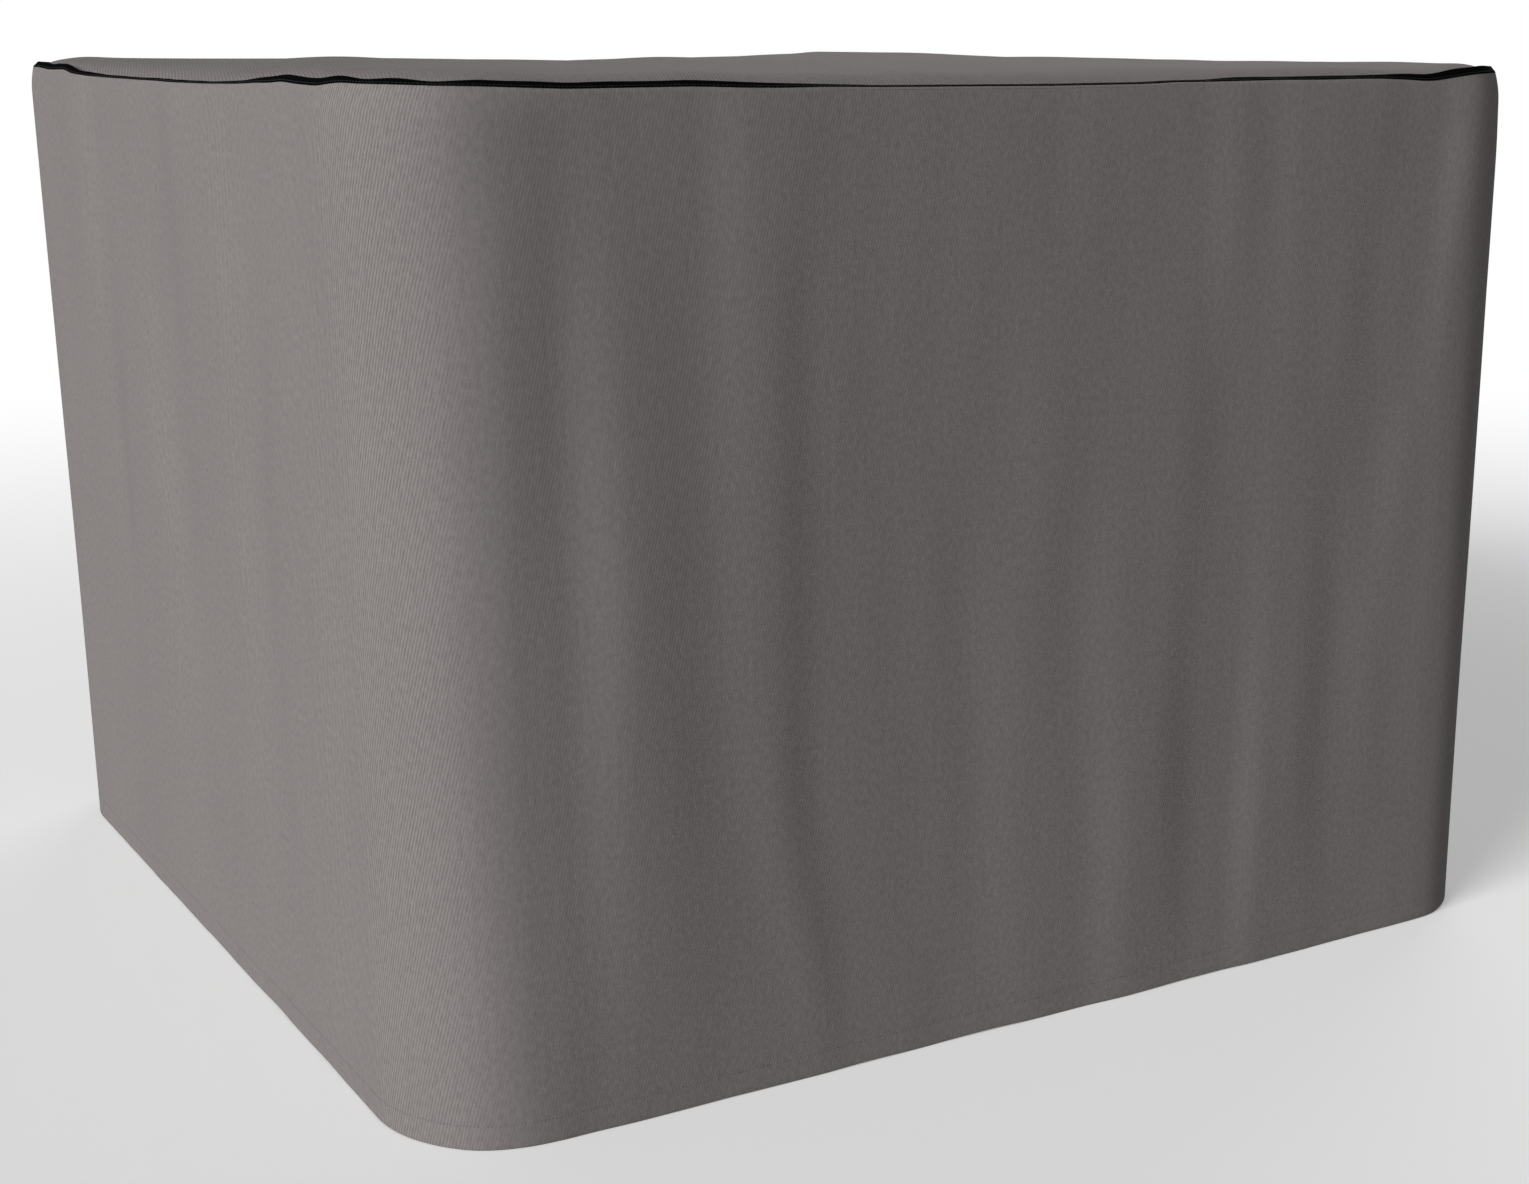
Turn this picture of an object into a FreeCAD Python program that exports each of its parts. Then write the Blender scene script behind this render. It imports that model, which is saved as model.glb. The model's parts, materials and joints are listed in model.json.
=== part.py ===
"""Square full-drop spa cover: a soft fabric top and skirt, sewn together inside one bound seam.

Millimetres, +Z up. The origin is on the ground at the middle of the footprint, the front is -Y.
The skirt is cut as two equal panels, each wrapped round two sides and joined at the front right and
back left corners. The second panel is the first one turned half a turn about the vertical axis.
Every inset is measured inwards from the skirt's outer face.
"""

import FreeCAD, Part
import math
import os

import Sketcher

DIMENSIONS = {
    # the whole cover
    "side": 1400,
    "corner_radius": 148,
    "fabric": 1.2,
    "layer_gap": 0.2,
    # the top seam and the shoulder below it
    "seam_height": 996,
    "shoulder_drop": 32,
    "shoulder_inset": 5,
    "flange": 8,
    "binding": 1.0,
    "binding_clearance": 1.5,
    "seam_allowance": 4,
    # the crown of the top panel, as rounded squares that step inwards and upwards
    "edge_inset": 45,
    "edge_rise": 12,
    "edge_radius": 115,
    "slope_inset": 200,
    "slope_rise": 20,
    "slope_radius": 80,
    "crown_inset": 450,
    "crown_rise": 24,
    "crown_radius": 60,
    # hem, side seams, tapes, threads and label
    "hem": 30,
    "seam_angle": 25,
    "tape": 0.5,
    "tape_width": 24,
    "tape_margin": 6,
    "top_tape_drop": 30,
    "top_tape_margin": 3,
    "thread": 0.6,
    "thread_spacing": 10,
    "hem_thread_height": 25,
    "binding_thread_height": 999.4,
    "label_width": 40,
    "label_drop": 60,
    "label_offset": 420,
}

START, END, CENTRE = 1, 2, 3
ORIGIN = X_AXIS = -1


class Size:
    """A number, together with the spreadsheet expression that gives the same number."""

    def __init__(self, value, text):
        self.value = float(value)
        self.text = text

    def __add__(self, other):
        other = as_size(other)
        return Size(self.value + other.value, f"({self.text} + {other.text})")

    def __sub__(self, other):
        other = as_size(other)
        return Size(self.value - other.value, f"({self.text} - {other.text})")

    def __mul__(self, other):
        other = as_size(other)
        return Size(self.value * other.value, f"({self.text} * {other.text})")

    def __truediv__(self, other):
        other = as_size(other)
        return Size(self.value / other.value, f"({self.text} / {other.text})")

    def __neg__(self):
        return Size(-self.value, f"(-1 * {self.text})")


def as_size(item):
    """A size as it is, or a plain number as a size."""
    return item if isinstance(item, Size) else Size(item, str(item))


def cosine(angle):
    """The cosine of a size in degrees."""
    return Size(math.cos(math.radians(angle.value)), f"cos({angle.text})")


def sine(angle):
    """The sine of a size in degrees."""
    return Size(math.sin(math.radians(angle.value)), f"sin({angle.text})")


class SizeSheet:
    """The document's spreadsheet: one named row for each driving dimension."""

    def __init__(self, document):
        sheet = document.addObject("Spreadsheet::Sheet", "Sizes")
        for row, (alias, value) in enumerate(DIMENSIONS.items(), start=1):
            sheet.set(f"A{row}", alias)
            sheet.set(f"B{row}", str(value))
            sheet.setAlias(f"B{row}", alias)
            setattr(self, alias, Size(value, f"Sizes.{alias}"))
        document.recompute()


doc = FreeCAD.newDocument("spa_cover")
size = SizeSheet(doc)

# sizes that several pieces share
wall = size.side / 2
corner_centre = wall - size.corner_radius
shoulder_start = size.seam_height - size.shoulder_drop
shoulder_radius = (
    size.shoulder_drop * size.shoulder_drop + size.shoulder_inset * size.shoulder_inset
) / (size.shoulder_inset * 2)
flange_top = size.seam_height + size.flange
skirt_flange_back = size.shoulder_inset + size.fabric
top_flange_face = skirt_flange_back + size.layer_gap
top_flange_back = top_flange_face + size.fabric
binding_face = size.shoulder_inset - size.layer_gap - size.binding
binding_back = top_flange_back + size.layer_gap + size.binding
turnup_back = size.fabric * 2 + size.layer_gap


class Outline:
    """A sketch of a body, whose lines and arcs are held by constraints bound to the spreadsheet."""

    def __init__(self, body, name, plane="XY_Plane", height=None):
        self.sketch = body.newObject("Sketcher::SketchObject", name)
        origin = [f for f in body.Origin.OriginFeatures if f.Role == plane]
        self.sketch.AttachmentSupport = (origin[0], "")
        self.sketch.MapMode = "FlatFace"
        if height:
            self.sketch.setExpression("AttachmentOffset.Base.z", height.text)

    def line(self, start, end):
        """Adds a straight line between two points and returns its index."""
        ends = [FreeCAD.Vector(x, y, 0) for x, y in (start, end)]
        return self.sketch.addGeometry(Part.LineSegment(*ends), False)

    def arc(self, centre, radius, first, last):
        """Adds an arc, anticlockwise between two angles in degrees, and returns its index."""
        circle = Part.Circle(FreeCAD.Vector(*centre, 0), FreeCAD.Vector(0, 0, 1), radius)
        arc = Part.ArcOfCircle(circle, math.radians(first), math.radians(last))
        return self.sketch.addGeometry(arc, False)

    def hold(self, kind, *where):
        """Adds a constraint that has no size."""
        self.sketch.addConstraint(Sketcher.Constraint(kind, *where))

    def measure(self, kind, *where, to):
        """Adds a constraint whose size is bound to the spreadsheet."""
        index = self.sketch.addConstraint(Sketcher.Constraint(kind, *where, to.value))
        self.sketch.setExpression(f"Constraints[{index}]", to.text)

    def place(self, index, point, x=None, y=None):
        """Fixes a point's distance from the origin along one or both of the sketch's axes."""
        for kind, to in (("DistanceX", x), ("DistanceY", y)):
            if to:
                self.measure(kind, ORIGIN, START, index, point, to=to)

    def chain(self, *joints):
        """Joins pairs of (geometry, point) end to end."""
        for first, second in zip(joints[::2], joints[1::2]):
            self.hold("Coincident", *first, *second)

    def rounded_square(self, half, radius, start_on_axis=False):
        """A square with round corners about the origin. It may start where it crosses the X axis."""
        h, r = half.value, radius.value
        c = h - r
        arcs = [
            self.arc((x, y), r, first, first + 90)
            for x, y, first in ((c, c, 0), (-c, c, 90), (-c, -c, 180), (c, -c, 270))
        ]
        back = self.line((c, h), (-c, h))
        left = self.line((-h, c), (-h, -c))
        front = self.line((-c, -h), (c, -h))
        if start_on_axis:
            right = self.line((h, 0), (h, c))
            lower_right = self.line((h, -c), (h, 0))
            self.hold("Coincident", lower_right, END, right, START)
            self.hold("Vertical", lower_right)
            self.hold("PointOnObject", right, START, X_AXIS)
        else:
            right = lower_right = self.line((h, -c), (h, c))
        for arc, after in zip(arcs, (back, left, front, lower_right)):
            self.hold("Tangent", arc, END, after, START)
        for arc, before in zip(arcs, (right, back, left, front)):
            self.hold("Tangent", before, END, arc, START)
        for side, kind in ((back, "Horizontal"), (front, "Horizontal"), (left, "Vertical")):
            self.hold(kind, side)
        self.hold("Vertical", right)
        for arc in arcs[1:]:
            self.hold("Equal", arcs[0], arc)
        self.measure("Radius", arcs[0], to=radius)
        self.place(back, START, y=half)
        self.place(left, START, x=-half)
        self.place(front, START, y=-half)
        self.place(right, END, x=half)

    def inset_square(self, inset):
        """The skirt's outer plan, moved inwards by an inset."""
        self.rounded_square(wall - inset, size.corner_radius - inset)


def new_body(label):
    """A PartDesign body whose label is its node's name."""
    body = doc.addObject("PartDesign::Body", label)
    body.Label = label
    return body


def add(body, kind, name, **settings):
    """Adds a feature to a body with its settings, in the order given."""
    feature = body.newObject(kind, name)
    for key, value in settings.items():
        setattr(feature, key, value)
    return feature


def pad(body, outline, length, name="Pad"):
    """Pads an outline upwards by a bound length."""
    feature = add(body, "PartDesign::Pad", name, Profile=outline.sketch)
    feature.setExpression("Length", length.text)


def band(body, name, outer, inner, low, high):
    """Adds a thin upright band right round the cover between two insets and two heights."""
    outline = Outline(body, name + "Outline", height=low)
    outline.inset_square(outer)
    outline.inset_square(inner)
    pad(body, outline, high - low, name)


def sweep_round(body, section):
    """Sweeps an upright section right round the cover's outer plan."""
    path = Outline(body, "Path")
    path.rounded_square(wall, size.corner_radius, start_on_axis=True)
    edges = [f"Edge{i + 1}" for i in range(path.sketch.GeometryCount)]
    add(body, "PartDesign::AdditivePipe", "Sweep", Profile=section.sketch, Spine=(path.sketch, edges))


def cut_half(body, keep_back):
    """Cuts a ring down to the half behind the upright plane through both side seams, or in front."""
    across = corner_centre + size.corner_radius * cosine(size.seam_angle)
    forward = corner_centre + size.corner_radius * sine(size.seam_angle)
    along = FreeCAD.Vector(across.value, -forward.value, 0) * 2
    side = FreeCAD.Vector(along.y, -along.x, 0) * (1 if keep_back else -1)
    away = side.normalize() * size.side.value
    corners = [along * -1, along, along + away, away - along]
    outline = Outline(body, "HalfOutline")
    near, far_right, far, far_left = (
        outline.line((a.x, a.y), (b.x, b.y)) for a, b in zip(corners, corners[1:] + corners[:1])
    )
    outline.chain((near, END), (far_right, START), (far_right, END), (far, START))
    outline.chain((far, END), (far_left, START), (far_left, END), (near, START))
    outline.hold("Symmetric", near, START, near, END, ORIGIN, START)
    outline.hold("Perpendicular", near, far_right)
    outline.hold("Perpendicular", near, far_left)
    outline.hold("Parallel", near, far)
    outline.measure("Distance", far_right, to=size.side)
    outline.place(near, END, x=across * 2, y=forward * -2)
    doc.recompute()
    whole = body.Tip.Shape.Volume
    cut = add(body, "PartDesign::Pocket", "Cut", Profile=outline.sketch, Type="ThroughAll")
    cut.Reversed = True
    doc.recompute()
    if abs(cut.Shape.Volume / whole - 0.5) > 0.01:
        raise RuntimeError(f"{body.Label}: the cut left {cut.Shape.Volume / whole:.2f} of the ring")


def skirt_section(body):
    """The skirt's section: a hem turned up inside, an upright wall, a shoulder and the flange."""
    outline = Outline(body, "Section", plane="XZ_Plane")
    outer, inner = wall.value, (wall - size.fabric).value
    fold, back = (wall - size.fabric - size.layer_gap).value, (wall - turnup_back).value
    thick, hem, bend = size.fabric.value, size.hem.value, shoulder_start.value
    seam, rim = size.seam_height.value, flange_top.value
    face = (wall - size.shoulder_inset).value
    radius = shoulder_radius.value
    turn = math.degrees(math.asin(size.shoulder_drop.value / radius))
    outside = outline.line((outer, 0), (outer, bend))
    shoulder = outline.arc((outer - radius, bend), radius, 0, turn)
    flange = outline.line((face, seam), (face, rim))
    edge = outline.line((face, rim), (face - thick, rim))
    flange_inside = outline.line((face - thick, rim), (face - thick, seam))
    under = outline.arc((outer - radius, bend), radius - thick, 0, turn)
    inside = outline.line((inner, bend), (inner, thick))
    crease = outline.line((inner, thick), (fold, thick))
    turnup = outline.line((fold, thick), (fold, hem))
    turnup_edge = outline.line((fold, hem), (back, hem))
    turnup_inside = outline.line((back, hem), (back, 0))
    foot = outline.line((back, 0), (outer, 0))
    outline.hold("Tangent", outside, END, shoulder, START)
    outline.chain((shoulder, END), (flange, START), (flange, END), (edge, START))
    outline.chain((edge, END), (flange_inside, START), (flange_inside, END), (under, END))
    outline.hold("Tangent", under, START, inside, START)
    outline.hold("Coincident", under, CENTRE, shoulder, CENTRE)
    outline.chain((inside, END), (crease, START), (crease, END), (turnup, START))
    outline.chain((turnup, END), (turnup_edge, START), (turnup_edge, END), (turnup_inside, START))
    outline.chain((turnup_inside, END), (foot, START), (foot, END), (outside, START))
    for upright in (outside, flange, flange_inside, inside, turnup, turnup_inside):
        outline.hold("Vertical", upright)
    for level in (edge, crease, turnup_edge):
        outline.hold("Horizontal", level)
    outline.hold("PointOnObject", foot, START, X_AXIS)
    outline.hold("PointOnObject", foot, END, X_AXIS)
    outline.place(outside, START, x=wall)
    outline.place(outside, END, y=shoulder_start)
    outline.place(inside, END, x=wall - size.fabric, y=size.fabric)
    outline.place(flange, START, x=wall - size.shoulder_inset, y=size.seam_height)
    outline.place(edge, END, x=wall - skirt_flange_back, y=flange_top)
    outline.place(turnup, END, x=wall - size.fabric - size.layer_gap, y=size.hem)
    outline.place(turnup_edge, END, x=wall - turnup_back)
    return outline


def skirt_panel(label, keep_back):
    """One of the two skirt panels, with its hem, its shoulder and the flange for the top seam."""
    body = new_body(label)
    sweep_round(body, skirt_section(body))
    cut_half(body, keep_back)


def top_panel():
    """The top: a shallow crown of one thickness of fabric, with its flange turned up into the seam."""
    body = new_body("top_panel")
    rings = (
        (top_flange_back, size.corner_radius - top_flange_back, as_size(0)),
        (size.edge_inset, size.edge_radius, size.edge_rise),
        (size.slope_inset, size.slope_radius, size.slope_rise),
        (size.crown_inset, size.crown_radius, size.crown_rise),
    )
    for kind, name, lowered in (
        ("PartDesign::AdditiveLoft", "Crown", as_size(0)),
        ("PartDesign::SubtractiveLoft", "Hollow", size.fabric),
    ):
        sketches = []
        for number, (inset, radius, rise) in enumerate(rings):
            height = size.seam_height + rise - lowered
            outline = Outline(body, f"{name}Ring{number}", height=height)
            outline.rounded_square(wall - inset, radius)
            sketches.append(outline.sketch)
        add(body, kind, name, Profile=sketches[0], Sections=sketches[1:], Ruled=True)
    allowance = top_flange_back + size.seam_allowance
    low, seam = size.seam_height - size.fabric, size.seam_height
    band(body, "Allowance", top_flange_face, allowance, low, seam)
    band(body, "Flange", top_flange_face, top_flange_back, seam, flange_top)


def top_binding():
    """The tape folded over both flanges: two legs and the fold that joins them over the top."""
    body = new_body("top_binding")
    foot = size.seam_height + size.binding_clearance
    fold = flange_top + size.layer_gap
    band(body, "OuterLeg", binding_face, binding_face + size.binding, foot, fold)
    band(body, "Fold", binding_face, binding_back, fold, fold + size.binding)
    band(body, "InnerLeg", binding_back - size.binding, binding_back, foot, fold)


def thread_ring(label, face, height):
    """A row of stitching right round the cover, lying just outside the face that it is sewn to."""
    inner = face - size.layer_gap
    band(new_body(label), "Row", inner - size.thread, inner, height, height + size.thread)


def strip(body, name, radii, sides, heights):
    """Adds a thin upright strip bent about the local Z axis, between two distances from the X axis."""
    outline = Outline(body, name + "Outline", height=heights[0])
    small, large = (radius.value for radius in radii)
    angles = [math.asin(side.value / small) for side in sides]
    first, last = (math.degrees(angle) for angle in angles)
    inner = outline.arc((0, 0), small, first, last)
    outer = outline.arc((0, 0), large, first, last)
    for arc, radius in zip((inner, outer), radii):
        outline.hold("Coincident", arc, CENTRE, ORIGIN, START)
        outline.measure("Radius", arc, to=radius)
    for angle, side, point in zip(angles, sides, (START, END)):
        ends = [(r * math.cos(angle), r * math.sin(angle)) for r in (small, large)]
        cap = outline.line(*ends)
        outline.chain((cap, START), (inner, point), (cap, END), (outer, point))
        outline.hold("PointOnObject", ORIGIN, START, cap)
        outline.place(inner, point, y=side)
    pad(body, outline, heights[1] - heights[0], name)


def put_at_corner(body, across, forward, turn):
    """Moves a body from the origin to the centre of a corner's curve, and turns it."""
    body.setExpression("Placement.Base.x", across.text)
    body.setExpression("Placement.Base.y", forward.text)
    body.Placement.Rotation = FreeCAD.Rotation(FreeCAD.Vector(0, 0, 1), turn.value)
    body.setExpression("Placement.Rotation.Angle", turn.text)


def side_seam(where, across, forward, turn):
    """The sealing tape inside one side seam, and the two rows of stitching outside it."""
    tape = new_body(f"side_seam_tape_{where}")
    tape_face = size.corner_radius - size.fabric - size.layer_gap
    half = size.tape_width / 2
    tape_heights = (size.hem + size.tape_margin, shoulder_start - size.tape_margin)
    strip(tape, "Tape", (tape_face - size.tape, tape_face), (-half, half), tape_heights)
    put_at_corner(tape, across, forward, turn)
    thread = new_body(f"side_seam_thread_{where}")
    thread_back = size.corner_radius + size.layer_gap
    radii = (thread_back, thread_back + size.thread)
    near, far = (size.thread_spacing - size.thread) / 2, (size.thread_spacing + size.thread) / 2
    strip(thread, "LeftRow", radii, (near, far), tape_heights)
    strip(thread, "RightRow", radii, (-far, -near), tape_heights)
    put_at_corner(thread, across, forward, turn)


def top_seam_tape():
    """The tape that seals the top seam's needle holes from inside, bent along the shoulder."""
    body = new_body("top_seam_tape")
    outline = Outline(body, "Section", plane="XZ_Plane")
    face = shoulder_radius - size.fabric - size.layer_gap
    back = face - size.tape
    centre = wall - shoulder_radius
    low, high = size.seam_height - size.top_tape_drop, size.seam_height - size.top_tape_margin
    angles = [math.asin((side - shoulder_start).value / face.value) for side in (low, high)]
    middle = (centre.value, shoulder_start.value)
    arcs = []
    for radius in (face, back):
        arc = outline.arc(middle, radius.value, *(math.degrees(angle) for angle in angles))
        outline.place(arc, CENTRE, x=centre, y=shoulder_start)
        outline.measure("Radius", arc, to=radius)
        arcs.append(arc)
    for angle, side, point in zip(angles, (low, high), (START, END)):
        ends = [
            (middle[0] + r.value * math.cos(angle), middle[1] + r.value * math.sin(angle))
            for r in (face, back)
        ]
        cap = outline.line(*ends)
        outline.chain((cap, START), (arcs[0], point), (cap, END), (arcs[1], point))
        outline.hold("PointOnObject", arcs[0], CENTRE, cap)
        outline.place(arcs[0], point, y=side)
    sweep_round(body, outline)


def care_label():
    """A blank woven label inside the back, caught in the top edge of the hem's turn-up."""
    label = doc.addObject("Part::Box", "care_label")
    label.Label = "care_label"
    box = {
        "Length": size.label_width,
        "Width": size.tape,
        "Height": size.label_drop,
        "Placement.Base.x": size.label_offset,
        "Placement.Base.y": wall - turnup_back + size.layer_gap,
        "Placement.Base.z": size.hem + size.layer_gap,
    }
    for name, value in box.items():
        label.setExpression(name, value.text)


def build():
    """Makes every piece of the cover."""
    top_panel()
    skirt_panel("skirt_panel_front_left", keep_back=False)
    skirt_panel("skirt_panel_back_right", keep_back=True)
    top_binding()
    thread_ring("top_binding_thread", binding_face, size.binding_thread_height)
    thread_ring("hem_thread", as_size(0), size.hem_thread_height)
    side_seam("front_right", corner_centre, -corner_centre, -size.seam_angle)
    side_seam("back_left", -corner_centre, corner_centre, as_size(180) - size.seam_angle)
    top_seam_tape()
    care_label()


def check_and_write():
    """Recomputes, stops on any feature or piece that failed, and writes one STEP file per piece."""
    doc.recompute()
    for item in doc.Objects:
        if {"Invalid", "Error"} & set(item.State):
            raise RuntimeError(f"{item.Name} ({item.Label}) failed: {item.State}")
    os.makedirs("parts", exist_ok=True)
    for old in os.listdir("parts"):
        os.remove(os.path.join("parts", old))
    for piece in doc.Objects:
        if piece.TypeId not in ("PartDesign::Body", "Part::Box"):
            continue
        shape = piece.Shape
        if shape.isNull() or not shape.isValid() or not shape.Solids:
            raise RuntimeError(f"{piece.Label} has no valid solid")
        shape.exportStep(f"parts/{piece.Label}.step")
        box = shape.BoundBox
        print(
            f"{piece.Label}: {len(shape.Solids)} solid, {shape.Volume / 1000:.1f} cm3, "
            f"{box.XLength:.1f} x {box.YLength:.1f} x {box.ZLength:.1f} mm from z {box.ZMin:.1f}"
        )


build()
check_and_write()
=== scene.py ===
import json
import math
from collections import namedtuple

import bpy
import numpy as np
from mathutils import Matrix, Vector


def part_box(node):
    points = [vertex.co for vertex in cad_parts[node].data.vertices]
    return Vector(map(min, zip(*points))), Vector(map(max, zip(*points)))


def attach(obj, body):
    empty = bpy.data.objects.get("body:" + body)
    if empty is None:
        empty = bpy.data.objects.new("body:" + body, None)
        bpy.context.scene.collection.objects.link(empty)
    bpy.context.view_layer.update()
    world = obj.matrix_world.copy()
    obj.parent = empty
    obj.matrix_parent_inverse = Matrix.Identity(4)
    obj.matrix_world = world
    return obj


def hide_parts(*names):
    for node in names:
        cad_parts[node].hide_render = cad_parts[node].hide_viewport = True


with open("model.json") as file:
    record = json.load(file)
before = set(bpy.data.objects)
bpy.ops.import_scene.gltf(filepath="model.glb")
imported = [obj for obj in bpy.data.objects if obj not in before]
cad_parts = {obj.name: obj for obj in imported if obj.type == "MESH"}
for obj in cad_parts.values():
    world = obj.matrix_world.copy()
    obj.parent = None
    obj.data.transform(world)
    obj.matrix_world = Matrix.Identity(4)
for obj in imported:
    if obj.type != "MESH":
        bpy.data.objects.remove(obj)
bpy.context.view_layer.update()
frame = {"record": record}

# The looks of the spa cover: two skirt panels, a top panel, the black binding round the top seam,
# stitching, inside tapes and a label. Metres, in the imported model's own frame: -Y is the front.
#
# A place on the cover is given by s, the distance round its plan from the middle of the front
# (towards +X first), and by its height z. Folds are built from bands: narrow upright strips in which
# the cloth turns a few degrees to one side. Added up along s, they make the creases and swells.

BODY = "root"
SEED = 20357
FULL_TURN = 2 * math.pi

# ---------------------------------------------------------------- sizes, from the frame

skirt_low, skirt_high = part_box("skirt_panel_front_left")
top_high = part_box("top_panel")[1]
hem_thread_low, hem_thread_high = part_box("hem_thread")
seam_tape_low, seam_tape_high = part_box("side_seam_tape_front_right")
seam_thread_low, seam_thread_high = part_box("side_seam_thread_front_right")
top_tape_low, top_tape_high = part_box("top_seam_tape")
label_low, label_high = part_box("care_label")

WALL = -skirt_low.x  # from the middle to the skirt's outer face
FLANGE = 0.0085  # how far both layers stand up inside the binding
FLANGE_STEPS = np.array([0.03, 0.12, 0.35, 0.7, 1.0])  # the places of a flange's rows, as shares
SEAM_Z = skirt_high.z - 0.008  # the CAD's flange is 8 mm high
SHOULDER_DROP = 0.032
SHOULDER_INSET = 0.005  # how far the top seam is drawn in round the corners
SIDE_INSET_SHARE = 0.2  # and the share of that along the straight sides
SHOULDER_Z = SEAM_Z - SHOULDER_DROP
CORNER_RADIUS = 0.148
CROWN_RISE = top_high.z - SEAM_Z
HEM_STITCH_Z = (hem_thread_low.z + hem_thread_high.z) / 2

STRAIGHT = WALL - CORNER_RADIUS  # half of a side's straight stretch
QUARTER = 2 * STRAIGHT + CORNER_RADIUS * math.pi / 2
PERIMETER = 4 * QUARTER
SEAM_ANGLE = math.radians(65)  # how far round the corner a side seam is
SIDE_SEAM = STRAIGHT + CORNER_RADIUS * SEAM_ANGLE

CLOTH = 0.0006  # thickness of the cover's cloth
TAPE = 0.0004  # and of the binding and the sealing tape
GAP = 0.0001  # between layers that are sewn together
HEM = 0.030  # how much of the skirt is turned up inside
LAP = 0.008  # each skirt panel runs this far past the middle of a side seam
LAP_STANDOFF = 1.5 * CLOTH  # how far the upper panel stands out over the lower one there
COLUMNS = 716  # vertices round the whole cover
ROW = 0.0105  # height of the wall's cells

# ---------------------------------------------------------------- folds

Band = namedtuple("Band", "width stations")

# Each station is (height, place s, turn to the left in degrees).
FRONT_BANDS = [
    Band(0.110, [(0.0, -0.618, -8), (0.90, -0.618, -8), (0.98, -0.610, -12)]),
    Band(0.060, [(0.0, -0.581, -5), (0.80, -0.581, -6), (0.95, -0.578, -3)]),
    Band(0.090, [(0.0, -0.508, 1), (0.15, -0.508, 4), (0.35, -0.508, 9), (0.55, -0.508, 13),
                 (0.75, -0.508, 8), (0.90, -0.508, 2), (1.0, -0.508, 1)]),
    Band(0.110, [(0.0, -0.415, -1), (0.25, -0.405, -4), (0.45, -0.435, -4), (0.70, -0.430, -3),
                 (0.95, -0.430, 1)]),
    Band(0.080, [(0.0, -0.275, 1), (0.07, -0.290, 3), (0.25, -0.335, 4), (0.45, -0.365, 2.5),
                 (0.80, -0.365, 5), (0.95, -0.362, 6.5)]),
    Band(0.075, [(0.0, -0.245, -1), (0.08, -0.257, -4), (0.30, -0.297, -7), (0.60, -0.298, -6),
                 (0.95, -0.295, -2)]),
    Band(0.150, [(0.0, -0.050, 3), (0.30, -0.050, 4.5), (0.50, -0.055, 3), (0.62, -0.060, 0)]),
    Band(0.110, [(0.0, 0.095, 4), (0.25, 0.085, 7), (0.45, 0.075, 5), (0.60, 0.080, 0)]),
    Band(0.085, [(0.0, 0.180, -1), (0.20, 0.180, -7), (0.45, 0.185, -3), (0.75, 0.210, -3),
                 (0.88, 0.210, 0)]),
    Band(0.080, [(0.62, 0.220, 0), (0.82, 0.220, 5), (0.97, 0.220, 3)]),
    Band(0.070, [(0.0, 0.280, 4), (0.20, 0.285, 10), (0.38, 0.292, 3.5), (0.60, 0.300, 1),
                 (0.90, 0.312, 2.5)]),
    Band(0.090, [(0.0, 0.380, -1), (0.15, 0.380, -4), (0.30, 0.380, -6), (0.45, 0.385, -3),
                 (0.65, 0.400, -2), (0.95, 0.460, -3)]),
    Band(0.090, [(0.05, 0.445, 0), (0.35, 0.455, 1.5), (0.55, 0.475, 4), (0.65, 0.505, 3),
                 (0.75, 0.550, 3), (0.93, 0.566, 12), (1.0, 0.575, 10)]),
    Band(0.070, [(0.0, 0.587, 7), (0.70, 0.587, 7), (0.90, 0.590, 3)]),
]
LEFT_BANDS = [
    Band(0.110, [(0.45, -1.660, 0), (0.80, -1.645, -11), (0.98, -1.640, -9)]),
    Band(0.120, [(0.05, -1.585, 0), (0.25, -1.580, 4), (0.50, -1.570, 10), (0.80, -1.565, 4)]),
    Band(0.140, [(0.05, -1.450, 0), (0.25, -1.420, -6), (0.50, -1.380, -10),
                 (0.95, -1.450, -2)]),
    Band(0.130, [(0.05, -1.310, 0), (0.25, -1.300, 4), (0.55, -1.290, 4), (0.95, -1.285, 9)]),
    Band(0.120, [(0.05, -1.110, 0), (0.20, -1.115, -4), (0.40, -1.120, -4), (0.95, -1.090, -9)]),
    Band(0.110, [(0.05, -1.000, 0), (0.25, -1.000, 5), (0.55, -1.005, 9), (0.95, -0.960, 2)]),
    Band(0.120, [(0.05, -0.880, 0), (0.25, -0.860, -5), (0.55, -0.820, -7), (0.95, -0.840, 3)]),
]

UNSEEN_START, UNSEEN_STOP = 0.66, 3.34  # the places between which the photograph shows no folds
SIDE_FOLD_TURN = 13.0  # the strongest turn of a fold there, in degrees
FOLD_ROWS = 101  # heights at which the folds are worked out
FOLD_BLUR = 4  # and the number of them over which they are softened
DRIFT_SPREAD = 0.20  # folds are kept about the plan over this distance
SEAM_HOLD = 0.75  # the share of a fold that is left where the top seam holds the cloth
SEAM_GRIP = 0.05  # how far below the shoulder that hold begins
RIPPLE_COUNT = 46
RIPPLE_HEIGHT = 0.00018


def smooth_step(value, start, stop):
    """0 before start, 1 after stop, and a smooth rise between them."""
    along = np.clip((np.asarray(value, float) - start) / (stop - start), 0, 1)
    return along * along * (3 - 2 * along)


def side_bands(rng, start, stop):
    """Folds for a stretch that isn't seen: bands that turn the cloth left and right by turns."""
    bands = []
    place, hand = start, 1
    while place < stop:
        turn = hand * SIDE_FOLD_TURN * rng.uniform(0.3, 1)
        drift = rng.normal(0, 0.018)
        middle = rng.uniform(0.25, 0.8)
        bands.append(Band(rng.uniform(0.06, 0.12), [
            (0.0, place - drift, turn * rng.uniform(0.1, 0.6)),
            (middle, place, turn),
            (SEAM_Z, place + drift, turn * rng.uniform(0.1, 0.6)),
        ]))
        place += rng.uniform(0.06, 0.14)
        hand = -hand
    return bands


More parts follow.
